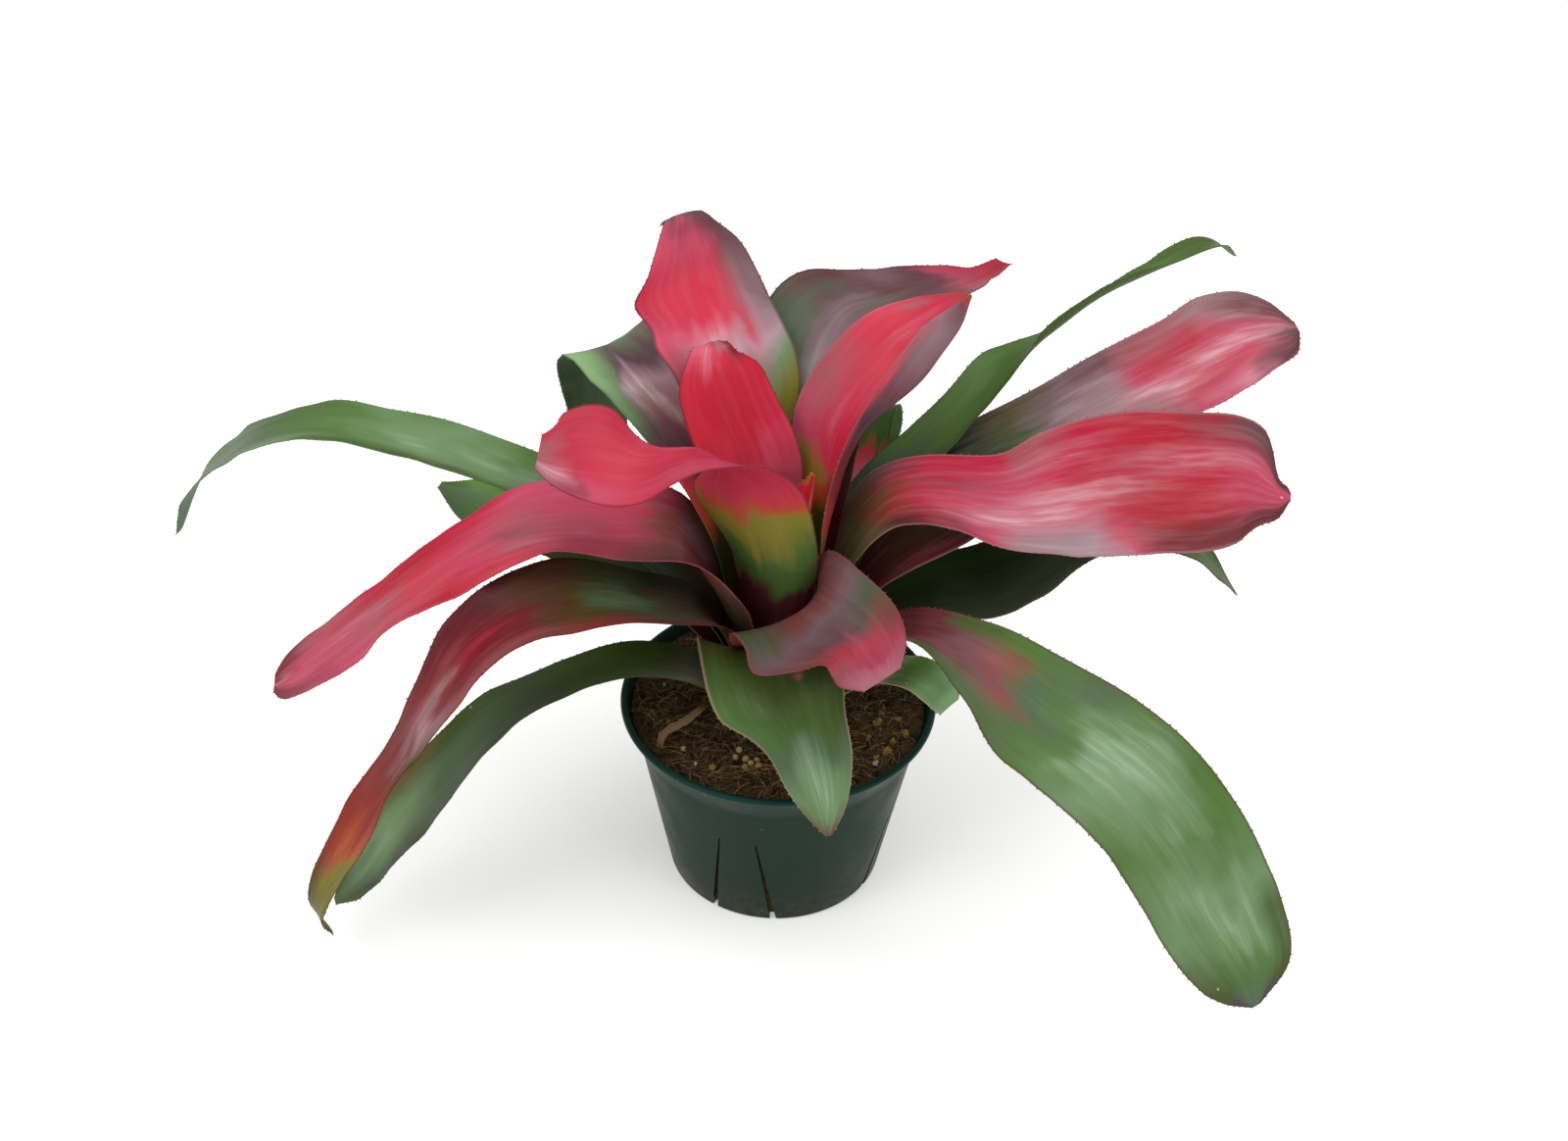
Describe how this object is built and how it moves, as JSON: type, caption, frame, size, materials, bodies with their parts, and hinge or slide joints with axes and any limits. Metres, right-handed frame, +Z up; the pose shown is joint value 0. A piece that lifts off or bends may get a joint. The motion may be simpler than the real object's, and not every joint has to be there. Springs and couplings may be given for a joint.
{
  "type": "potted bromeliad plant",
  "caption": "Rosette houseplant with broad strap leaves in green, red and rose, planted in potting mix in a round tapered dark green nursery pot with slits at its foot.",
  "frame": {"origin": "centre of the flat underside of the pot, on the surface that it stands on", "axes": "+Z up along the pot's axis, -Y towards the front of the plant, +X to the right along the widest spread of the leaves"},
  "size_m": [0.5474, 0.3867, 0.3208],
  "materials": {
    "pot": "dark green satin",
    "potting_mix": "moist bark and peat mix",
    "stem": "dull pale brown",
    "leaf_01": "semi gloss leaf, saturated red",
    "leaf_02": "semi gloss leaf, olive green",
    "leaf_03": "semi gloss leaf, saturated red with a pink upper edge",
    "leaf_04": "semi gloss leaf, coral red with a yellow green foot",
    "leaf_05": "semi gloss leaf, grey and pink red",
    "leaf_06": "semi gloss leaf, grey maroon and green with a pink tip",
    "leaf_07": "semi gloss leaf, pink red turning yellow green towards the foot",
    "leaf_08": "semi gloss leaf, red with pink streaks",
    "leaf_09": "semi gloss leaf, very dark green with pale streaks",
    "leaf_10": "semi gloss leaf, rose red",
    "leaf_11": "semi gloss leaf, grass green",
    "leaf_12": "semi gloss leaf, grey purple with rose patches",
    "leaf_13": "semi gloss leaf, dark olive with a pale streak",
    "leaf_14": "semi gloss leaf, dark grey green streaked with pink red",
    "leaf_15": "semi gloss leaf, grey green",
    "leaf_16": "semi gloss leaf, mid green with pale highlights",
    "leaf_17": "semi gloss leaf, dark green",
    "leaf_18": "semi gloss leaf, dark green",
    "leaf_19": "semi gloss leaf, very dark green",
    "leaf_20": "semi gloss leaf, green with a pale patch",
    "leaf_21": "semi gloss leaf, grey green",
    "leaf_22": "semi gloss leaf, green",
    "leaf_23": "semi gloss leaf, dark green",
    "dry_leaf": "dry papery brown"
  },
  "bodies": {
    "root": {"pot": "pot", "potting_mix": "potting_mix", "stem": "stem", "leaf_01": "leaf_01", "leaf_02": "leaf_02", "leaf_03": "leaf_03", "leaf_04": "leaf_04", "leaf_05": "leaf_05", "leaf_06": "leaf_06", "leaf_07": "leaf_07", "leaf_08": "leaf_08", "leaf_09": "leaf_09", "leaf_10": "leaf_10", "leaf_11": "leaf_11", "leaf_12": "leaf_12", "leaf_13": "leaf_13", "leaf_14": "leaf_14", "leaf_15": "leaf_15", "leaf_16": "leaf_16", "leaf_17": "leaf_17", "leaf_18": "leaf_18", "leaf_19": "leaf_19", "leaf_20": "leaf_20", "leaf_21": "leaf_21", "leaf_22": "leaf_22", "leaf_23": "leaf_23", "dry_leaf": "dry_leaf"}
  },
  "joints": []
}
